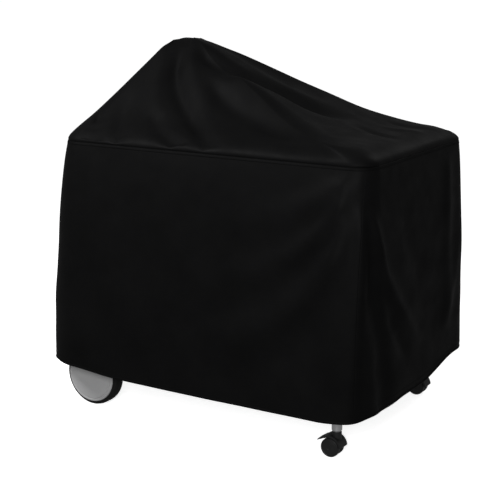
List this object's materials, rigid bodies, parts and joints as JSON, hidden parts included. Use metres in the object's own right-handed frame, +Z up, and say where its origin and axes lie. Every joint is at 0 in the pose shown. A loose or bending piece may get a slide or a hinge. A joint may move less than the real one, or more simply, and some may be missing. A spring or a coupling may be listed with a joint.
{
  "type": "grill cover",
  "caption": "Fitted fabric cover with a raised peak over a kettle and a flat end over a table, standing on its wheeled grill cart.",
  "frame": {"origin": "on the floor under the middle of the cover's hem", "axes": "+X along the cart from the big wheels to the casters, +Y to the back, +Z up"},
  "size_m": [1.171, 0.875, 1.2127],
  "materials": {
    "cover_fabric": "matt black coated polyester with a fine plain weave",
    "cover_binding": "black polyester tape",
    "frame_alloy": "satin silver-grey tube",
    "steel_bar": "plated wire and bar",
    "stem_steel": "zinc-plated",
    "damper_alloy": "mill finish sheet",
    "kettle_enamel": "glossy black porcelain enamel",
    "table_board": "dark grey moulded board, fine grain",
    "tyre_rubber": "matt black moulded tread",
    "hub_cap_plastic": "light grey satin moulding",
    "black_plastic": "black nylon, satin"
  },
  "bodies": {
    "cart": {"front_wheel_leg": "frame_alloy", "front_caster_leg": "frame_alloy", "front_rail": "frame_alloy", "front_bowl_bracket": "frame_alloy", "back_wheel_leg": "frame_alloy", "back_caster_leg": "frame_alloy", "back_rail": "frame_alloy", "back_bowl_bracket": "frame_alloy", "wheel_axle": "stem_steel", "wheel_end_crossbar": "frame_alloy", "caster_end_crossbar": "frame_alloy", "bottom_shelf": "steel_bar", "table_top": "table_board", "kettle_bowl": "kettle_enamel", "kettle_lid": "kettle_enamel", "lid_handle_bracket": "steel_bar", "lid_handle_grip": "black_plastic", "charcoal_grate": "steel_bar", "cooking_grate": "steel_bar", "ash_catcher": "damper_alloy", "ash_catcher_strap": "steel_bar"},
    "cover": {"cover_top_panel": "cover_fabric", "cover_front_panel": "cover_fabric", "cover_right_panel": "cover_fabric", "cover_back_panel": "cover_fabric", "cover_left_panel": "cover_fabric", "cover_front_right_tape": "cover_binding", "cover_right_back_tape": "cover_binding", "cover_back_left_tape": "cover_binding", "cover_left_front_tape": "cover_binding", "cover_top_seam": "cover_binding", "cover_hem_binding": "cover_binding"},
    "lid_damper": {"lid_damper": "damper_alloy"},
    "bowl_damper": {"bowl_damper": "damper_alloy"},
    "front_wheel": {"front_wheel_tyre": "tyre_rubber", "front_wheel_rim": "black_plastic", "front_wheel_hub_cap": "hub_cap_plastic"},
    "front_caster": {"front_caster_stem": "stem_steel", "front_caster_housing": "black_plastic", "front_caster_axle": "stem_steel"},
    "front_caster_outer": {"front_caster_outer_wheel": "black_plastic"},
    "front_caster_inner": {"front_caster_inner_wheel": "black_plastic"},
    "front_brake": {"front_caster_brake": "black_plastic"},
    "back_wheel": {"back_wheel_tyre": "tyre_rubber", "back_wheel_rim": "black_plastic", "back_wheel_hub_cap": "hub_cap_plastic"},
    "back_caster": {"back_caster_stem": "stem_steel", "back_caster_housing": "black_plastic", "back_caster_axle": "stem_steel"},
    "back_caster_outer": {"back_caster_outer_wheel": "black_plastic"},
    "back_caster_inner": {"back_caster_inner_wheel": "black_plastic"},
    "back_brake": {"back_caster_brake": "black_plastic"}
  },
  "joints": [
    {"name": "cover_lift_off", "type": "slide", "parent": "cart", "child": "cover", "axis": [0, 0, 1], "range_m": [0, 1.15]},
    {"name": "lid_damper_turn", "type": "hinge", "parent": "cart", "child": "lid_damper", "pos_m": [-0.283, 0, 1.0606], "axis": [0, 0, 1], "range_deg": [0, 60]},
    {"name": "bowl_damper_turn", "type": "hinge", "parent": "cart", "child": "bowl_damper", "pos_m": [-0.283, 0, 0.667], "axis": [0, 0, 1], "range_deg": [0, 60]},
    {"name": "front_wheel_spin", "type": "hinge", "parent": "cart", "child": "front_wheel", "pos_m": [-0.447, -0.323, 0.1015], "axis": [0, 1, 0], "continuous": true},
    {"name": "front_caster_swivel", "type": "hinge", "parent": "cart", "child": "front_caster", "pos_m": [0.457, -0.318, 0.08], "axis": [0, 0, 1], "continuous": true},
    {"name": "front_caster_outer_spin", "type": "hinge", "parent": "front_caster", "child": "front_caster_outer", "pos_m": [0.443, -0.318, 0.03], "axis": [0, 1, 0], "continuous": true},
    {"name": "front_caster_inner_spin", "type": "hinge", "parent": "front_caster", "child": "front_caster_inner", "pos_m": [0.443, -0.318, 0.03], "axis": [0, 1, 0], "continuous": true},
    {"name": "front_brake_press", "type": "hinge", "parent": "front_caster", "child": "front_brake", "pos_m": [0.42053, -0.318, 0.05876], "axis": [0, -1, 0], "range_deg": [0, 16]},
    {"name": "back_wheel_spin", "type": "hinge", "parent": "cart", "child": "back_wheel", "pos_m": [-0.447, 0.323, 0.1015], "axis": [0, 1, 0], "continuous": true},
    {"name": "back_caster_swivel", "type": "hinge", "parent": "cart", "child": "back_caster", "pos_m": [0.457, 0.318, 0.08], "axis": [0, 0, 1], "continuous": true},
    {"name": "back_caster_outer_spin", "type": "hinge", "parent": "back_caster", "child": "back_caster_outer", "pos_m": [0.443, 0.318, 0.03], "axis": [0, 1, 0], "continuous": true},
    {"name": "back_caster_inner_spin", "type": "hinge", "parent": "back_caster", "child": "back_caster_inner", "pos_m": [0.443, 0.318, 0.03], "axis": [0, 1, 0], "continuous": true},
    {"name": "back_brake_press", "type": "hinge", "parent": "back_caster", "child": "back_brake", "pos_m": [0.42053, 0.318, 0.05876], "axis": [0, -1, 0], "range_deg": [0, 16]}
  ]
}
